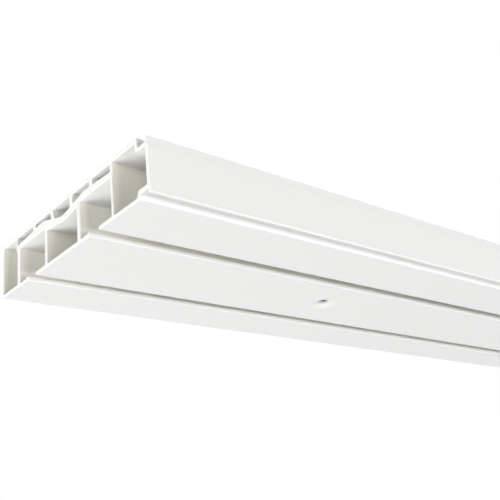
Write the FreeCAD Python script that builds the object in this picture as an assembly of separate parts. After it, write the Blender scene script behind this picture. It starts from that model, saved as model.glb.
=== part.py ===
import FreeCAD, Part
import math
import os

Vector = FreeCAD.Vector

# Two-channel ceiling curtain track, one hollow extrusion of white plastic.
# Row frame: +X along the track, -Y towards the room (fascia), +Z up to the ceiling.
# Origin: middle of the flat top that lies on the ceiling.
# The section is drawn with y from the fascia's outer face and z from the flat underside.

# Length of the piece
length = 1200.0

# Widths across the section, from the fascia to the back
fascia_wall = 1.4
front_chamber = 14.9
front_web = 0.95
channel_width = 15.35
inner_front_web = 1.7
middle_chamber = 16.6
inner_rear_web = 1.45
rear_web = 1.75
rear_chamber = 9.2
back_wall = 1.35

# Heights, from the underside to the ceiling
bottom_wall = 0.95
channel_height = 10.95
middle_web = 1.85
pocket_height = 2.05
ceiling_wall = 1.2

# Slots in the underside, one in each channel a little behind its middle,
# with a small ridge on the inner edge of the rear lip
slot_width = 4.6
front_slot_shift = 1.0
rear_slot_shift = 0.4
ridge_height = 0.4
ridge_width = 1.2

# Fascia tip and the open groove between it and the ceiling wall
fascia_drop = 1.3
fascia_lean = 0.4
lean_height = 3.2
tip_wall = 0.65
groove_inner = 1.05
groove_width = 3.5
groove_depth = 2.9
groove_wall = 0.95
groove_rear_wall = 1.2
groove_fillet = 1.2

# Lip at the fascia's foot, shadow groove behind it and the step down to the underside
lip_wall = 0.95
lip_rise = 0.2
shadow_width = 3.2
shadow_depth = 1.5
step_wall = 1.35
shelf_wall = 1.25

# Wave of the middle web: it sinks between the channels
crest_inset = 2.3
front_crest = 0.45
rear_crest = 1.1
sag_top = 2.2
sag_low = 2.1
sag_edge = 0.8
sag_shift = 1.8
front_web_bow = 0.55
rear_web_shift = 0.8
bow_height = 3.0
bow_round = 2.0

# Ribs of the small pockets: thickness, and lean of the rear half
rib_wall = 1.7
front_rib_offset = 1.9
rear_rib_offset = 1.3
inner_rib_offset = 2.9
rib_lean = 0.5

# Roundings
corner_round = 0.4
tip_round = 0.3
ridge_round = 0.2
lip_round = 0.45
step_round = 0.85
cove_round = 0.5
back_round = 0.8
web_round = 10.0
foot_round = 0.25

# Screw seats in the middle strip
first_screw = 100.0
screw_pitch = 500.0
screw_count = 3
screw_hole = 4.2
seat_width = 10.0
seat_depth = 0.6
seat_round = 2.5


# Places that follow from the sizes above
front_chamber_end = fascia_wall + front_chamber
front_channel = front_chamber_end + front_web
front_channel_end = front_channel + channel_width
middle_start = front_channel_end + inner_front_web
middle_end = middle_start + middle_chamber
rear_channel = middle_end + inner_rear_web
rear_channel_end = rear_channel + channel_width
rear_start = rear_channel_end + rear_web
rear_end = rear_start + rear_chamber
width = rear_end + back_wall

roof = bottom_wall + channel_height
web_top = roof + middle_web
ceiling_inner = web_top + pocket_height
height = ceiling_inner + ceiling_wall

fascia_top = height - fascia_drop
groove_floor = height - groove_depth
groove_end = groove_inner + groove_width
step_face = lip_wall + shadow_width
shelf_top = shadow_depth + shelf_wall
ridge_top = bottom_wall + ridge_height
front_centre = (front_channel + front_channel_end) / 2
rear_centre = (rear_channel + rear_channel_end) / 2
middle_line = (front_centre + rear_centre) / 2
sag_line = (middle_start + middle_end) / 2 - sag_shift


def rounded_wire(corners):
    """Closed wire across the track through (y, z, radius) corners."""
    count = len(corners)
    stations = []
    for i, (y, z, radius) in enumerate(corners):
        here = Vector(0, y, z)
        back = Vector(0, *corners[i - 1][:2]) - here
        ahead = Vector(0, *corners[(i + 1) % count][:2]) - here
        back.normalize()
        ahead.normalize()
        half_angle = back.getAngle(ahead) / 2
        reach = radius / math.tan(half_angle)
        inward = back + ahead
        inward.normalize()
        middle = here + inward * (radius / math.sin(half_angle) - radius)
        stations.append((here + back * reach, middle, here + ahead * reach))
    edges = []
    for i, (start, middle, end) in enumerate(stations):
        if start.distanceToPoint(end) > 1e-6:
            edges.append(Part.Arc(start, middle, end).toShape())
        following = stations[(i + 1) % count][0]
        if end.distanceToPoint(following) > 1e-6:
            edges.append(Part.LineSegment(end, following).toShape())
    return Part.Wire(edges)


def channel_corners(left, right, slot_shift):
    """One glider channel with its slot, walked from its rear lip to its front lip."""
    mouth = (left + right) / 2 + slot_shift
    mouth_front = mouth - slot_width / 2
    mouth_rear = mouth + slot_width / 2
    return [
        (mouth_rear, 0, tip_round),
        (mouth_rear, ridge_top, ridge_round),
        (mouth_rear + ridge_width / 2, ridge_top, ridge_round),
        (mouth_rear + ridge_width, bottom_wall, ridge_round),
        (right, bottom_wall, corner_round),
        (right, roof, corner_round),
        (left, roof, corner_round),
        (left, bottom_wall, corner_round),
        (mouth_front, bottom_wall, tip_round),
        (mouth_front, 0, tip_round),
    ]


# Upper side of the middle web as a chain of points, each rounded into a soft wave
web_chain = [
    (front_channel, web_top - 0.3),
    (front_channel_end - crest_inset, web_top + front_crest),
    (sag_line + sag_shift, web_top - sag_top),
    (rear_channel + crest_inset / 2, web_top + rear_crest),
    (rear_centre - rear_rib_offset, web_top + 0.3),
    (rear_start, web_top - 0.35),
]


def web_level(y):
    """Height of the chain at a place across the track."""
    for (y0, z0), (y1, z1) in zip(web_chain, web_chain[1:]):
        if y <= y1:
            break
    return z0 + (z1 - z0) * (y - y0) / (y1 - y0)


def pocket_corners(low_front, high_front, low_rear, high_rear):
    """A small closed pocket between two ribs, over the wave and under the ceiling wall."""
    wave = [(y, z, web_round) for y, z in web_chain if low_front < y < low_rear]
    return [
        (high_rear, ceiling_inner, corner_round),
        (high_front, ceiling_inner, corner_round),
        (low_front, web_level(low_front), corner_round),
        *wave,
        (low_rear, web_level(low_rear), corner_round),
    ]


# Outline of the section, with both channels open through their slots
outline = [
    (0, lip_rise, lip_round),
    (0, fascia_top - lean_height, web_round),
    (fascia_lean, fascia_top, foot_round),
    (fascia_lean + tip_wall, fascia_top, foot_round),
    (groove_inner, groove_floor, foot_round),
    (groove_end, groove_floor, foot_round),
    (groove_end, height, foot_round),
    (width, height, corner_round),
    (width, 0, back_round),
    *channel_corners(rear_channel, rear_channel_end, rear_slot_shift),
    *channel_corners(front_channel, front_channel_end, front_slot_shift),
    (step_face, 0, step_round),
    (step_face, shadow_depth, cove_round),
    (lip_wall, shadow_depth, foot_round),
    (lip_wall, lip_rise, lip_round),
]

# Front chamber: under the open groove, over the shelf of the shadow groove
shelf_round = (shelf_top - bottom_wall) / 2
front_room = [
    (fascia_wall, shelf_top, corner_round),
    (fascia_wall, groove_floor - groove_wall, groove_fillet),
    (groove_end + groove_rear_wall, groove_floor - groove_wall, corner_round),
    (groove_end + groove_rear_wall, ceiling_inner, corner_round),
    (front_chamber_end, ceiling_inner, corner_round),
    (front_chamber_end - front_web_bow, web_top, bow_round),
    (front_chamber_end, web_top - bow_height, bow_round),
    (front_chamber_end, bottom_wall, corner_round),
    (step_face + step_wall, bottom_wall, shelf_round),
    (step_face + step_wall, shelf_top, shelf_round),
]

# Middle chamber under the sinking web
middle_room = [
    (middle_start, bottom_wall, corner_round),
    (middle_start, roof - sag_edge, corner_round),
    (sag_line, roof - sag_low, web_round),
    (middle_end, roof - sag_edge, corner_round),
    (middle_end, bottom_wall, corner_round),
]

# Rear chamber, the full height of the track; its web stands back above the channels
rear_room = [
    (rear_start, bottom_wall, corner_round),
    (rear_start, web_top - bow_height, bow_round),
    (rear_start + rear_web_shift, roof, bow_round),
    (rear_start + rear_web_shift, ceiling_inner, corner_round),
    (rear_end, ceiling_inner, corner_round),
    (rear_end, bottom_wall, corner_round),
]

# Pockets between the ribs, from the front to the rear
half_rib = rib_wall / 2
ribs = [
    (front_centre + front_rib_offset, 0.0),
    (middle_start + inner_rib_offset, 0.0),
    (middle_end - inner_rib_offset, rib_lean),
    (rear_centre - rear_rib_offset, rib_lean),
]
sides = [(front_channel, front_channel)]
for y, lean in ribs:
    sides.append((y - half_rib - lean, y - half_rib + lean))
    sides.append((y + half_rib - lean, y + half_rib + lean))
sides.append((rear_start, rear_start))
pockets = [
    pocket_corners(*front_side, *rear_side)
    for front_side, rear_side in zip(sides[0::2], sides[1::2])
]

# The section is drawn once and drawn out along the track
rooms = [front_room, middle_room, rear_room, *pockets]
wires = [rounded_wire(corners) for corners in [outline, *rooms]]
section = Part.Face(wires, "Part::FaceMakerBullseye")
track = section.extrude(Vector(length, 0, 0))

# Screw seats: the middle strip is pressed in around each hole, and the screw's
# way goes on through the middle web and the ceiling wall
hole_radius = screw_hole / 2
seat_radius = seat_width / 2
seat_angle = math.atan2(seat_depth, seat_radius - hole_radius)
rim = seat_radius + seat_round * math.tan(seat_angle / 2)
screw_way = [
    (0, -1, 0),
    (rim, -1, 0),
    (rim, 0, 0),
    (seat_radius, 0, seat_round),
    (hole_radius, seat_depth, 0),
    (hole_radius, height + 1, 0),
    (0, height + 1, 0),
]
seat_back = [
    (0, bottom_wall / 2, 0),
    (rim, bottom_wall / 2, 0),
    (rim, bottom_wall, 0),
    (seat_radius, bottom_wall, seat_round),
    (hole_radius + bottom_wall, bottom_wall + seat_depth, 0),
    (0, bottom_wall + seat_depth, 0),
]


def turned(corners, x):
    """A round body from its half profile, standing in the middle strip at x."""
    body = Part.Face(rounded_wire(corners)).revolve(Vector(0, 0, 0), Vector(0, 0, 1), 360)
    body.translate(Vector(x, middle_line, 0))
    return body


screw_places = [first_screw + i * screw_pitch for i in range(screw_count)]
track = track.fuse([turned(seat_back, x) for x in screw_places])
track = track.cut([turned(screw_way, x) for x in screw_places])
track = track.removeSplitter().Solids[0]

# From the section's own corner to the row frame
track.translate(Vector(-length / 2, -width / 2, -height))

os.makedirs("parts", exist_ok=True)
track.exportStep("parts/track_profile.step")
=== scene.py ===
import math

import bmesh
import bpy
from mathutils import Euler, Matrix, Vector


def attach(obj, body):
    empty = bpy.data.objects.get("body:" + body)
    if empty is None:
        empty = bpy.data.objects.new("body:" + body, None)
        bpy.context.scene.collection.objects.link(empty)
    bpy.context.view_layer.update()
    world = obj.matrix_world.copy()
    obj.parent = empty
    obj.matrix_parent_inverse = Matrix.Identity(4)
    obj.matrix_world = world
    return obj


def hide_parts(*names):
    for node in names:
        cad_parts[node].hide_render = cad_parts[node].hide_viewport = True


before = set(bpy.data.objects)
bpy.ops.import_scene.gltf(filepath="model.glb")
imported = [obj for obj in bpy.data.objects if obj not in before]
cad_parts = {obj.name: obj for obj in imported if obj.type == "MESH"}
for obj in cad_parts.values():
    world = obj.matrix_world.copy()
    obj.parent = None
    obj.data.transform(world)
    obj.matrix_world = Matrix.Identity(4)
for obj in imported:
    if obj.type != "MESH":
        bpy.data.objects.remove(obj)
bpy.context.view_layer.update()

# One extruded curtain track in white plastic, seen from below its near cut.
# Sizes are in millimetres, as the solid has them: x from the near cut,
# y from the fascia's outer face, z from the underside.
MM = 0.001
LENGTH = 1200.0

# Widths across the section, from the fascia to the back
FASCIA_WALL = 1.4
FRONT_CHAMBER = 14.9
FRONT_WEB = 0.95
CHANNEL_WIDTH = 15.35
INNER_FRONT_WEB = 1.7
MIDDLE_CHAMBER = 16.6
INNER_REAR_WEB = 1.45
REAR_WEB = 1.75
REAR_CHAMBER = 9.2
BACK_WALL = 1.35

# Heights, from the underside to the ceiling
BOTTOM_WALL = 0.95
CHANNEL_HEIGHT = 10.95
MIDDLE_WEB = 1.85
POCKET_HEIGHT = 2.05
CEILING_WALL = 1.2

# Slots in the underside, with a small ridge on the inner edge of the rear lip
SLOT_WIDTH = 4.6
FRONT_SLOT_SHIFT = 1.0
REAR_SLOT_SHIFT = 0.4
RIDGE_HEIGHT = 0.4
RIDGE_WIDTH = 1.2

# Fascia tip and the open groove between it and the ceiling wall
FASCIA_DROP = 1.3
FASCIA_LEAN = 0.4
LEAN_HEIGHT = 3.2
TIP_WALL = 0.65
GROOVE_INNER = 1.05
GROOVE_WIDTH = 3.5
GROOVE_DEPTH = 2.9
GROOVE_WALL = 0.95
GROOVE_REAR_WALL = 1.2
GROOVE_FILLET = 1.2

# Lip at the fascia's foot, shadow groove behind it and the step down to the underside
LIP_WALL = 0.95
LIP_RISE = 0.2
SHADOW_WIDTH = 3.2
SHADOW_DEPTH = 1.5
STEP_WALL = 1.35
SHELF_WALL = 1.25

# Wave of the middle web, which sinks between the channels
CREST_INSET = 2.3
FRONT_CREST = 0.45
REAR_CREST = 1.1
SAG_TOP = 2.2
SAG_LOW = 2.1
SAG_EDGE = 0.8
SAG_SHIFT = 1.8
WAVE_START_DROP = 0.3
WAVE_REAR_RISE = 0.3
WAVE_END_DROP = 0.35
FRONT_WEB_BOW = 0.55
REAR_WEB_SHIFT = 0.8
BOW_HEIGHT = 3.0

# Ribs between the small pockets: thickness, places and lean of the rear half
RIB_WALL = 1.7
FRONT_RIB_OFFSET = 1.9
REAR_RIB_OFFSET = 1.3
INNER_RIB_OFFSET = 2.9
RIB_LEAN = 0.5

# Roundings
CORNER_ROUND = 0.4
TIP_ROUND = 0.3
RIDGE_ROUND = 0.2
LIP_ROUND = 0.45
STEP_ROUND = 0.85
COVE_ROUND = 0.5
BACK_ROUND = 0.8
BOW_ROUND = 2.0
WEB_ROUND = 10.0
FOOT_ROUND = 0.25

# Screw seats in the middle strip
FIRST_SCREW = 100.0
SCREW_PITCH = 500.0
SCREW_COUNT = 3
SCREW_HOLE = 4.2
SEAT_WIDTH = 10.0
SEAT_DEPTH = 0.6
SEAT_ROUND = 2.5

# Places that follow from the sizes
front_chamber_end = FASCIA_WALL + FRONT_CHAMBER
front_channel = front_chamber_end + FRONT_WEB
front_channel_end = front_channel + CHANNEL_WIDTH
middle_start = front_channel_end + INNER_FRONT_WEB
middle_end = middle_start + MIDDLE_CHAMBER
rear_channel = middle_end + INNER_REAR_WEB
rear_channel_end = rear_channel + CHANNEL_WIDTH
rear_start = rear_channel_end + REAR_WEB
rear_end = rear_start + REAR_CHAMBER
width = rear_end + BACK_WALL
roof = BOTTOM_WALL + CHANNEL_HEIGHT
web_top = roof + MIDDLE_WEB
ceiling_inner = web_top + POCKET_HEIGHT
height = ceiling_inner + CEILING_WALL
fascia_top = height - FASCIA_DROP
groove_floor = height - GROOVE_DEPTH
groove_end = GROOVE_INNER + GROOVE_WIDTH
groove_wall_end = groove_end + GROOVE_REAR_WALL
groove_underside = groove_floor - GROOVE_WALL
step_face = LIP_WALL + SHADOW_WIDTH
step_inner = step_face + STEP_WALL
shelf_top = SHADOW_DEPTH + SHELF_WALL
shelf_round = (shelf_top - BOTTOM_WALL) / 2
ridge_top = BOTTOM_WALL + RIDGE_HEIGHT
front_centre = (front_channel + front_channel_end) / 2
rear_centre = (rear_channel + rear_channel_end) / 2
middle_line = (front_centre + rear_centre) / 2
sag_line = (middle_start + middle_end) / 2 - SAG_SHIFT
screw_places = [FIRST_SCREW + i * SCREW_PITCH for i in range(SCREW_COUNT)]

# How finely the visual mesh is made
SECTION_STEPS = 8
SEAT_STEPS = 5
SEAT_SEGMENTS = 48
SAME_POINT = 1e-4
SHARP_ANGLE = math.radians(28)

# Points closer than the weld gap become one and shorter edges go, in metres as the mesh is
WELD_GAP = 1e-7
EMPTY_EDGE = 1e-8


def in_row(x, y, z):
    """A place along the track and in its section, in metres in the row frame."""
    return Vector((x - LENGTH / 2, y - width / 2, z - height)) * MM


def rounded_loop(corners, steps):
    """Points of a closed outline whose (y, z, radius) corners are rounded."""
    points = []
    for i, (y, z, radius) in enumerate(corners):
        here = Vector((y, z))
        back = (Vector(corners[i - 1][:2]) - here).normalized()
        ahead = (Vector(corners[(i + 1) % len(corners)][:2]) - here).normalized()
        if radius == 0:
            points.append(here)
            continue
        half_angle = back.angle(ahead) / 2
        centre = here + (back + ahead).normalized() * (radius / math.sin(half_angle))
        start = here + back * (radius / math.tan(half_angle)) - centre
        end = here + ahead * (radius / math.tan(half_angle)) - centre
        sweep = start.angle_signed(end)
        for k in range(steps + 1):
            turn = -sweep * k / steps
            c = math.cos(turn)
            s = math.sin(turn)
            points.append(centre + Vector((start.x * c - start.y * s, start.x * s + start.y * c)))
    return [p for i, p in enumerate(points) if (p - points[i - 1]).length > SAME_POINT]


def channel_corners(left, right, slot_shift):
    """One glider channel with its slot, walked from its rear lip to its front lip."""
    mouth = (left + right) / 2 + slot_shift
    mouth_front = mouth - SLOT_WIDTH / 2
    mouth_rear = mouth + SLOT_WIDTH / 2
    return [
        (mouth_rear, 0, TIP_ROUND),
        (mouth_rear, ridge_top, RIDGE_ROUND),
        (mouth_rear + RIDGE_WIDTH / 2, ridge_top, RIDGE_ROUND),
        (mouth_rear + RIDGE_WIDTH, BOTTOM_WALL, RIDGE_ROUND),
        (right, BOTTOM_WALL, CORNER_ROUND),
        (right, roof, CORNER_ROUND),
        (left, roof, CORNER_ROUND),
        (left, BOTTOM_WALL, CORNER_ROUND),
        (mouth_front, BOTTOM_WALL, TIP_ROUND),
        (mouth_front, 0, TIP_ROUND),
    ]


# Upper side of the middle web as a chain of points, each rounded into a soft wave
web_chain = [
    (front_channel, web_top - WAVE_START_DROP),
    (front_channel_end - CREST_INSET, web_top + FRONT_CREST),
    (sag_line + SAG_SHIFT, web_top - SAG_TOP),
    (rear_channel + CREST_INSET / 2, web_top + REAR_CREST),
    (rear_centre - REAR_RIB_OFFSET, web_top + WAVE_REAR_RISE),
    (rear_start, web_top - WAVE_END_DROP),
]


def web_level(y):
    """Height of the chain at a place across the track."""
    for (y0, z0), (y1, z1) in zip(web_chain, web_chain[1:]):
        if y <= y1:
            break
    return z0 + (z1 - z0) * (y - y0) / (y1 - y0)


def pocket_corners(low_front, high_front, low_rear, high_rear):
    """A small closed pocket between two ribs, over the wave and under the ceiling wall."""
    wave = [(y, z, WEB_ROUND) for y, z in web_chain if low_front < y < low_rear]
    return [
        (high_rear, ceiling_inner, CORNER_ROUND),
        (high_front, ceiling_inner, CORNER_ROUND),
        (low_front, web_level(low_front), CORNER_ROUND),
        *wave,
        (low_rear, web_level(low_rear), CORNER_ROUND),
    ]


def pocket_outlines():
    """All pockets from the front to the rear, with the ribs left standing between them."""
    ribs = [
        (front_centre + FRONT_RIB_OFFSET, 0.0),
        (middle_start + INNER_RIB_OFFSET, 0.0),
        (middle_end - INNER_RIB_OFFSET, RIB_LEAN),
        (rear_centre - REAR_RIB_OFFSET, RIB_LEAN),
    ]
    sides = [(front_channel, front_channel)]
    for y, lean in ribs:
        for face in (y - RIB_WALL / 2, y + RIB_WALL / 2):
            sides.append((face - lean, face + lean))
    sides.append((rear_start, rear_start))
    return [pocket_corners(*front, *rear) for front, rear in zip(sides[0::2], sides[1::2])]


# Outline of the section, with both channels open through their slots
outline = [
    (0, LIP_RISE, LIP_ROUND),
    (0, fascia_top - LEAN_HEIGHT, WEB_ROUND),
    (FASCIA_LEAN, fascia_top, FOOT_ROUND),
    (FASCIA_LEAN + TIP_WALL, fascia_top, FOOT_ROUND),
    (GROOVE_INNER, groove_floor, FOOT_ROUND),
    (groove_end, groove_floor, FOOT_ROUND),
    (groove_end, height, FOOT_ROUND),
    (width, height, CORNER_ROUND),
    (width, 0, BACK_ROUND),
    *channel_corners(rear_channel, rear_channel_end, REAR_SLOT_SHIFT),
    *channel_corners(front_channel, front_channel_end, FRONT_SLOT_SHIFT),
    (step_face, 0, STEP_ROUND),
    (step_face, SHADOW_DEPTH, COVE_ROUND),
    (LIP_WALL, SHADOW_DEPTH, FOOT_ROUND),
    (LIP_WALL, LIP_RISE, LIP_ROUND),
]

# Front chamber: under the open groove, over the shelf of the shadow groove
front_room = [
    (FASCIA_WALL, shelf_top, CORNER_ROUND),
    (FASCIA_WALL, groove_underside, GROOVE_FILLET),
    (groove_wall_end, groove_underside, CORNER_ROUND),
    (groove_wall_end, ceiling_inner, CORNER_ROUND),
    (front_chamber_end, ceiling_inner, CORNER_ROUND),
    (front_chamber_end - FRONT_WEB_BOW, web_top, BOW_ROUND),
    (front_chamber_end, web_top - BOW_HEIGHT, BOW_ROUND),
    (front_chamber_end, BOTTOM_WALL, CORNER_ROUND),
    (step_inner, BOTTOM_WALL, shelf_round),
    (step_inner, shelf_top, shelf_round),
]

# Middle chamber under the sinking web
middle_room = [
    (middle_start, BOTTOM_WALL, CORNER_ROUND),
    (middle_start, roof - SAG_EDGE, CORNER_ROUND),
    (sag_line, roof - SAG_LOW, WEB_ROUND),
    (middle_end, roof - SAG_EDGE, CORNER_ROUND),
    (middle_end, BOTTOM_WALL, CORNER_ROUND),
]

# Rear chamber, the full height of the track; its web stands back above the channels
rear_room = [
    (rear_start, BOTTOM_WALL, CORNER_ROUND),
    (rear_start, web_top - BOW_HEIGHT, BOW_ROUND),
    (rear_start + REAR_WEB_SHIFT, roof, BOW_ROUND),
    (rear_start + REAR_WEB_SHIFT, ceiling_inner, CORNER_ROUND),
    (rear_end, ceiling_inner, CORNER_ROUND),
    (rear_end, BOTTOM_WALL, CORNER_ROUND),
]

# Materials: the same white plastic, drawn outside, sawn at the cuts, duller inside; the copy
# inside is also warmer and lighter in colour, a painted shade tint that stands in for the olive
# cast of bounced light on the walls there
IOR = 1.5
SPECULAR_LEVEL = 0.2
ROUGHNESS_SPREAD = 0.05
NOISE_DETAIL = 3.0
ALONG_THE_TRACK = (0.02, 1.0, 1.0)
ACROSS_THE_CUT = (1.0, 0.12, 1.0)


def nodes_of(owner):
    """Node tree of a material or world."""
    owner.use_nodes = True
    return owner.node_tree.nodes, owner.node_tree.links


def white_plastic(name, color, roughness, stretch, scale, height_mm):
    """White plastic with fine lines: noise in object space, stretched along one axis."""
    material = bpy.data.materials.new(name)
    nodes, links = nodes_of(material)
    shader = nodes["Principled BSDF"]
    shader.inputs["Base Color"].default_value = (*color, 1)
    shader.inputs["IOR"].default_value = IOR
    shader.inputs["Specular IOR Level"].default_value = SPECULAR_LEVEL
    place = nodes.new("ShaderNodeTexCoord")
    mapping = nodes.new("ShaderNodeMapping")
    mapping.inputs["Scale"].default_value = stretch
    links.new(place.outputs["Object"], mapping.inputs["Vector"])
    lines = nodes.new("ShaderNodeTexNoise")
    lines.inputs["Scale"].default_value = scale
    lines.inputs["Detail"].default_value = NOISE_DETAIL
    links.new(mapping.outputs["Vector"], lines.inputs["Vector"])
    bump = nodes.new("ShaderNodeBump")
    bump.inputs["Strength"].default_value = 1.0
    bump.inputs["Distance"].default_value = height_mm * MM
    links.new(lines.outputs["Fac"], bump.inputs["Height"])
    links.new(bump.outputs["Normal"], shader.inputs["Normal"])
    gloss = nodes.new("ShaderNodeMapRange")
    gloss.inputs["To Min"].default_value = roughness - ROUGHNESS_SPREAD
    gloss.inputs["To Max"].default_value = roughness + ROUGHNESS_SPREAD
    links.new(lines.outputs["Fac"], gloss.inputs["Value"])
    links.new(gloss.outputs["Result"], shader.inputs["Roughness"])
    return material


drawn = white_plastic(
    "drawn_plastic",
    color=(0.86, 0.86, 0.85),
    roughness=0.34,
    stretch=ALONG_THE_TRACK,
    scale=900.0,
    height_mm=0.002,
)
sawn = white_plastic(
    "sawn_plastic",
    color=(0.90, 0.90, 0.885),
    roughness=0.6,
    stretch=ACROSS_THE_CUT,
    scale=1500.0,
    height_mm=0.03,
)
# Painted shade tint: the same plastic, made warmer and lighter for the walls inside, in place of
# the olive cast that bounced light gives them
inner_shade_tint = white_plastic(
    "inner_plastic_shade_tint",
    color=(0.93, 0.915, 0.84),
    roughness=0.5,
    stretch=ALONG_THE_TRACK,
    scale=900.0,
    height_mm=0.01,
)
surfaces = [drawn, sawn, inner_shade_tint]
DRAWN = surfaces.index(drawn)
SAWN = surfaces.index(sawn)
INNER_SHADE_TINT = surfaces.index(inner_shade_tint)

# The extrusion: every loop is drawn out along the track, with a small broken edge at both cuts
BROKEN_EDGE = 0.12
SEAT_REACH = 9.0
FACES_DOWN = 0.7


def is_inside(y, z):
    """True on the walls of the channels above the slots, False on the outer faces."""
    return front_chamber_end < y < rear_start and ridge_top < z < web_top


def signed_area(loop):
    """Area of a loop, above zero where it runs anticlockwise."""
    return sum(a.x * b.y - b.x * a.y for a, b in zip(loop, loop[1:] + loop[:1])) / 2


def wound(loop, anticlockwise):
    """The loop turned so that the plastic lies on its left."""
    return loop if (signed_area(loop) > 0) == anticlockwise else loop[::-1]


def drawn_in(loop, amount):
    """The loop moved into the plastic, for the broken edge of the cut."""
    moved = []
    for i, p in enumerate(loop):
        along = (loop[(i + 1) % len(loop)] - loop[i - 1]).normalized()
        moved.append(p + Vector((-along.y, along.x)) * amount)
    return moved


def section_loops():
    """The outer loop first, then one loop for each chamber and pocket."""
    rooms = [front_room, middle_room, rear_room, *pocket_outlines()]
    loops = [wound(rounded_loop(outline, SECTION_STEPS), True)]
    for room in rooms:
        loops.append(wound(rounded_loop(room, SECTION_STEPS), False))
    return loops


def stations_along():
    """Places of the cross rings: at both broken edges and around each screw seat."""
    stations = [BROKEN_EDGE, LENGTH - BROKEN_EDGE]
    for place in screw_places:
        stations += [place - SEAT_REACH, place + SEAT_REACH]
    return sorted(stations)


def draw_out(bm, loop, is_room):
    """Walls of one loop along the track; returns the edges of its two cut ends."""
    inset = drawn_in(loop, BROKEN_EDGE)
    rings = []
    for x, points in [(0.0, inset), *[(x, loop) for x in stations_along()], (LENGTH, inset)]:
        rings.append([bm.verts.new(in_row(x, *p)) for p in points])
    for ring, following in zip(rings, rings[1:]):
        for i in range(len(ring)):
            j = (i + 1) % len(ring)
            face = bm.faces.new((ring[i], ring[j], following[j], following[i]))
            # Faces inside get the copy with the painted shade tint, except the ceilings that face
            # down, which keep the drawn plastic as the lit faces
            inside = is_room or is_inside(*(loop[i] + loop[j]) / 2)
            faces_down = (loop[j] - loop[i]).normalized().x > FACES_DOWN
            face.material_index = INNER_SHADE_TINT if inside and not faces_down else DRAWN
    return [
        [bm.edges.get((ring[i - 1], ring[i])) for i in range(len(ring))]
        for ring in (rings[0], rings[-1])
    ]


def scene_object(name, data):
    """A new object of the scene with the data of a mesh, a lamp or a camera."""
    made = bpy.data.objects.new(name, data)
    bpy.context.scene.collection.objects.link(made)
    return made


def extruded_track():
    """The whole track without its screw seats."""
    bm = bmesh.new()
    near_edges = []
    far_edges = []
    for number, loop in enumerate(section_loops()):
        near, far = draw_out(bm, loop, is_room=number > 0)
        near_edges += near
        far_edges += far
    for edges in (near_edges, far_edges):
        filled = bmesh.ops.triangle_fill(bm, edges=edges, use_beauty=True)
        for face in filled["geom"]:
            if isinstance(face, bmesh.types.BMFace):
                face.material_index = SAWN
    bmesh.ops.recalc_face_normals(bm, faces=bm.faces)
    mesh = bpy.data.meshes.new("track_skin")
    bm.to_mesh(mesh)
    bm.free()
    for material in surfaces:
        mesh.materials.append(material)
    return scene_object("track_skin", mesh)


# Screw seats: the middle strip is pressed in around each hole, and the screw's
# way goes on through the middle web and the ceiling wall
CLEAR_OF_PLASTIC = 1.0
hole_radius = SCREW_HOLE / 2
seat_radius = SEAT_WIDTH / 2
seat_angle = math.atan2(SEAT_DEPTH, seat_radius - hole_radius)
rim = seat_radius + SEAT_ROUND * math.tan(seat_angle / 2)
screw_way = [
    (0, -CLEAR_OF_PLASTIC, 0),
    (rim, -CLEAR_OF_PLASTIC, 0),
    (rim, 0, 0),
    (seat_radius, 0, SEAT_ROUND),
    (hole_radius, SEAT_DEPTH, 0),
    (hole_radius, height + CLEAR_OF_PLASTIC, 0),
    (0, height + CLEAR_OF_PLASTIC, 0),
]
seat_back = [
    (0, BOTTOM_WALL / 2, 0),
    (rim, BOTTOM_WALL / 2, 0),
    (rim, BOTTOM_WALL, 0),
    (seat_radius, BOTTOM_WALL, SEAT_ROUND),
    (hole_radius + BOTTOM_WALL, BOTTOM_WALL + SEAT_DEPTH, 0),
    (0, BOTTOM_WALL + SEAT_DEPTH, 0),
]


def turned(name, corners, place):
    """A closed round body from its half profile of (radius, z, rounding) corners."""
    profile = rounded_loop(corners, SEAT_STEPS)
    body = bmesh.new()
    for a, b in zip(profile, profile[1:] + profile[:1]):
        for k in range(SEAT_SEGMENTS):
            ring = []
            for point, step in ((a, k), (b, k), (b, k + 1), (a, k + 1)):
                turn = 2 * math.pi * step / SEAT_SEGMENTS
                x = place + point.x * math.cos(turn)
                y = middle_line + point.x * math.sin(turn)
                ring.append(body.verts.new(in_row(x, y, point.y)))
            body.faces.new(ring)
    bmesh.ops.remove_doubles(body, verts=body.verts, dist=WELD_GAP)
    bmesh.ops.dissolve_degenerate(body, edges=body.edges, dist=EMPTY_EDGE)
    bmesh.ops.recalc_face_normals(body, faces=body.faces)
    mesh = bpy.data.meshes.new(name)
    body.to_mesh(mesh)
    body.free()
    mesh.materials.append(drawn)
    return scene_object(name, mesh)


def combine(target, tool, operation):
    """Joins the tool to the target or cuts it away, and drops the tool."""
    step = target.modifiers.new(operation, "BOOLEAN")
    step.operation = operation
    step.solver = "EXACT"
    step.object = tool
    graph = bpy.context.evaluated_depsgraph_get()
    made = bpy.data.meshes.new_from_object(target.evaluated_get(graph))
    target.modifiers.clear()
    target.data = made
    bpy.data.objects.remove(tool)


skin = extruded_track()
for place in screw_places:
    combine(skin, turned("seat_back", seat_back, place), "UNION")
    combine(skin, turned("screw_way", screw_way, place), "DIFFERENCE")

# Smooth roundings and flat walls
skin.data.shade_smooth()
skin.data.set_sharp_from_angle(angle=SHARP_ANGLE)
even = skin.modifiers.new("even", "WEIGHTED_NORMAL")
even.keep_sharp = True

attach(skin, "root")
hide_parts("track_profile")

# Studio, in metres: white background, soft lights and a pale floor far below
FLOOR_LEVEL = -2.4
FLOOR_HALF_WIDTH = 8.0
FLOOR_GLOW = 0.8
FLOOR_ROUGHNESS = 0.8
SHADED_FLOOR = (0.3, 0.3, 0.3, 1.0)
PALE = (0.92, 0.92, 0.92, 1.0)
WHITE = (1.0, 1.0, 1.0, 1.0)
LAMP_SIZE = 1.4


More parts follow.
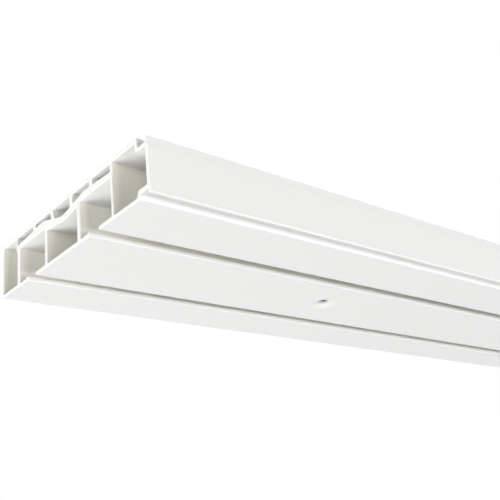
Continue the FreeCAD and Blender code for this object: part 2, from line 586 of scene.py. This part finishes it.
def looked_at(nodes, links):
    """1 for camera, glossy and transmission rays, 0 for light that falls on the object."""
    path = nodes.new("ShaderNodeLightPath")
    kind = path.outputs["Is Camera Ray"]
    for name in ("Is Glossy Ray", "Is Transmission Ray"):
        either = nodes.new("ShaderNodeMath")
        either.operation = "MAXIMUM"
        links.new(kind, either.inputs[0])
        links.new(path.outputs[name], either.inputs[1])
        kind = either.outputs[0]
    return kind


def white_world():
    """White where it is seen, dark for the light on the object, which comes from the lamps."""
    world = bpy.data.worlds.new("studio")
    bpy.context.scene.world = world
    nodes, links = nodes_of(world)
    dark = nodes["Background"]
    dark.inputs["Strength"].default_value = 0.0
    white = nodes.new("ShaderNodeBackground")
    white.inputs["Color"].default_value = WHITE
    white.inputs["Strength"].default_value = 1.0
    mix = nodes.new("ShaderNodeMixShader")
    links.new(looked_at(nodes, links), mix.inputs["Fac"])
    links.new(dark.outputs[0], mix.inputs[1])
    links.new(white.outputs[0], mix.inputs[2])
    links.new(mix.outputs[0], nodes["World Output"].inputs["Surface"])


def pale_material():
    """A floor that looks pale and throws little light back up at the object."""
    material = bpy.data.materials.new("pale_floor")
    nodes, links = nodes_of(material)
    shaded = nodes["Principled BSDF"]
    shaded.inputs["Base Color"].default_value = SHADED_FLOOR
    shaded.inputs["Roughness"].default_value = FLOOR_ROUGHNESS
    glow = nodes.new("ShaderNodeEmission")
    glow.inputs["Color"].default_value = PALE
    share = nodes.new("ShaderNodeMath")
    share.operation = "MULTIPLY"
    share.inputs[1].default_value = FLOOR_GLOW
    links.new(looked_at(nodes, links), share.inputs[0])
    mix = nodes.new("ShaderNodeMixShader")
    links.new(share.outputs[0], mix.inputs["Fac"])
    links.new(shaded.outputs[0], mix.inputs[1])
    links.new(glow.outputs[0], mix.inputs[2])
    links.new(mix.outputs[0], nodes["Material Output"].inputs["Surface"])
    material.cycles.emission_sampling = "NONE"
    return material


def pale_floor():
    """A large square floor below the track."""
    bm = bmesh.new()
    bmesh.ops.create_grid(bm, x_segments=1, y_segments=1, size=FLOOR_HALF_WIDTH)
    mesh = bpy.data.meshes.new("floor")
    bm.to_mesh(mesh)
    bm.free()
    mesh.materials.append(pale_material())
    floor = scene_object("floor", mesh)
    floor.location = (0, 0, FLOOR_LEVEL)
    return floor


def lamp(name, place, aim, power):
    """A square soft light at a place, aimed at a point."""
    data = bpy.data.lights.new(name, "AREA")
    data.size = LAMP_SIZE
    data.energy = power
    made = scene_object(name, data)
    made.location = place
    made.rotation_mode = "QUATERNION"
    made.rotation_quaternion = (Vector(aim) - Vector(place)).to_track_quat("-Z", "Y")
    made.visible_camera = False


white_world()
pale_floor()

near_end = (-0.55, 0.0, -0.01)
near_middle = (-0.35, 0.0, -0.01)
centre = (0.0, 0.0, 0.0)
far_end = (0.55, 0.0, 0.0)
lamp("left", (-2.8, 0.0, 0.0), near_end, 9.5)
lamp("left_front", (-2.2, -1.6, -0.3), near_end, 14.2)
lamp("left_below", (-1.7, 0.3, -2.0), near_end, 15.5)
lamp("left_back", (-2.2, 1.6, -0.3), near_end, 18.0)
lamp("left_back_low", (-2.0, 1.4, -1.4), near_end, 33.0)
lamp("front_low", (-0.4, -2.5, -0.7), near_middle, 55.0)
lamp("top", (-0.1, 0.3, 2.6), centre, 56.0)
lamp("back", (0.6, 2.7, 0.9), centre, 25.0)
lamp("right_end", (2.8, 0.2, 0.3), far_end, 48.0)

# The camera stands under the fascia side of the near end and looks up along the track
CAMERA_LENS = 57.55
CAMERA_CLIP = 0.005
CAMERA_PLACE = (-0.697010, -0.176020, -0.101628)
CAMERA_TURN_DEGREES = (112.2607, 6.0735, -40.3391)
camera = scene_object("camera", bpy.data.cameras.new("camera"))
camera.data.lens = CAMERA_LENS
camera.data.clip_start = CAMERA_CLIP
camera.location = CAMERA_PLACE
camera.rotation_euler = Euler([math.radians(turn) for turn in CAMERA_TURN_DEGREES])
bpy.context.scene.camera = camera

bpy.context.scene.view_settings.view_transform = "Standard"
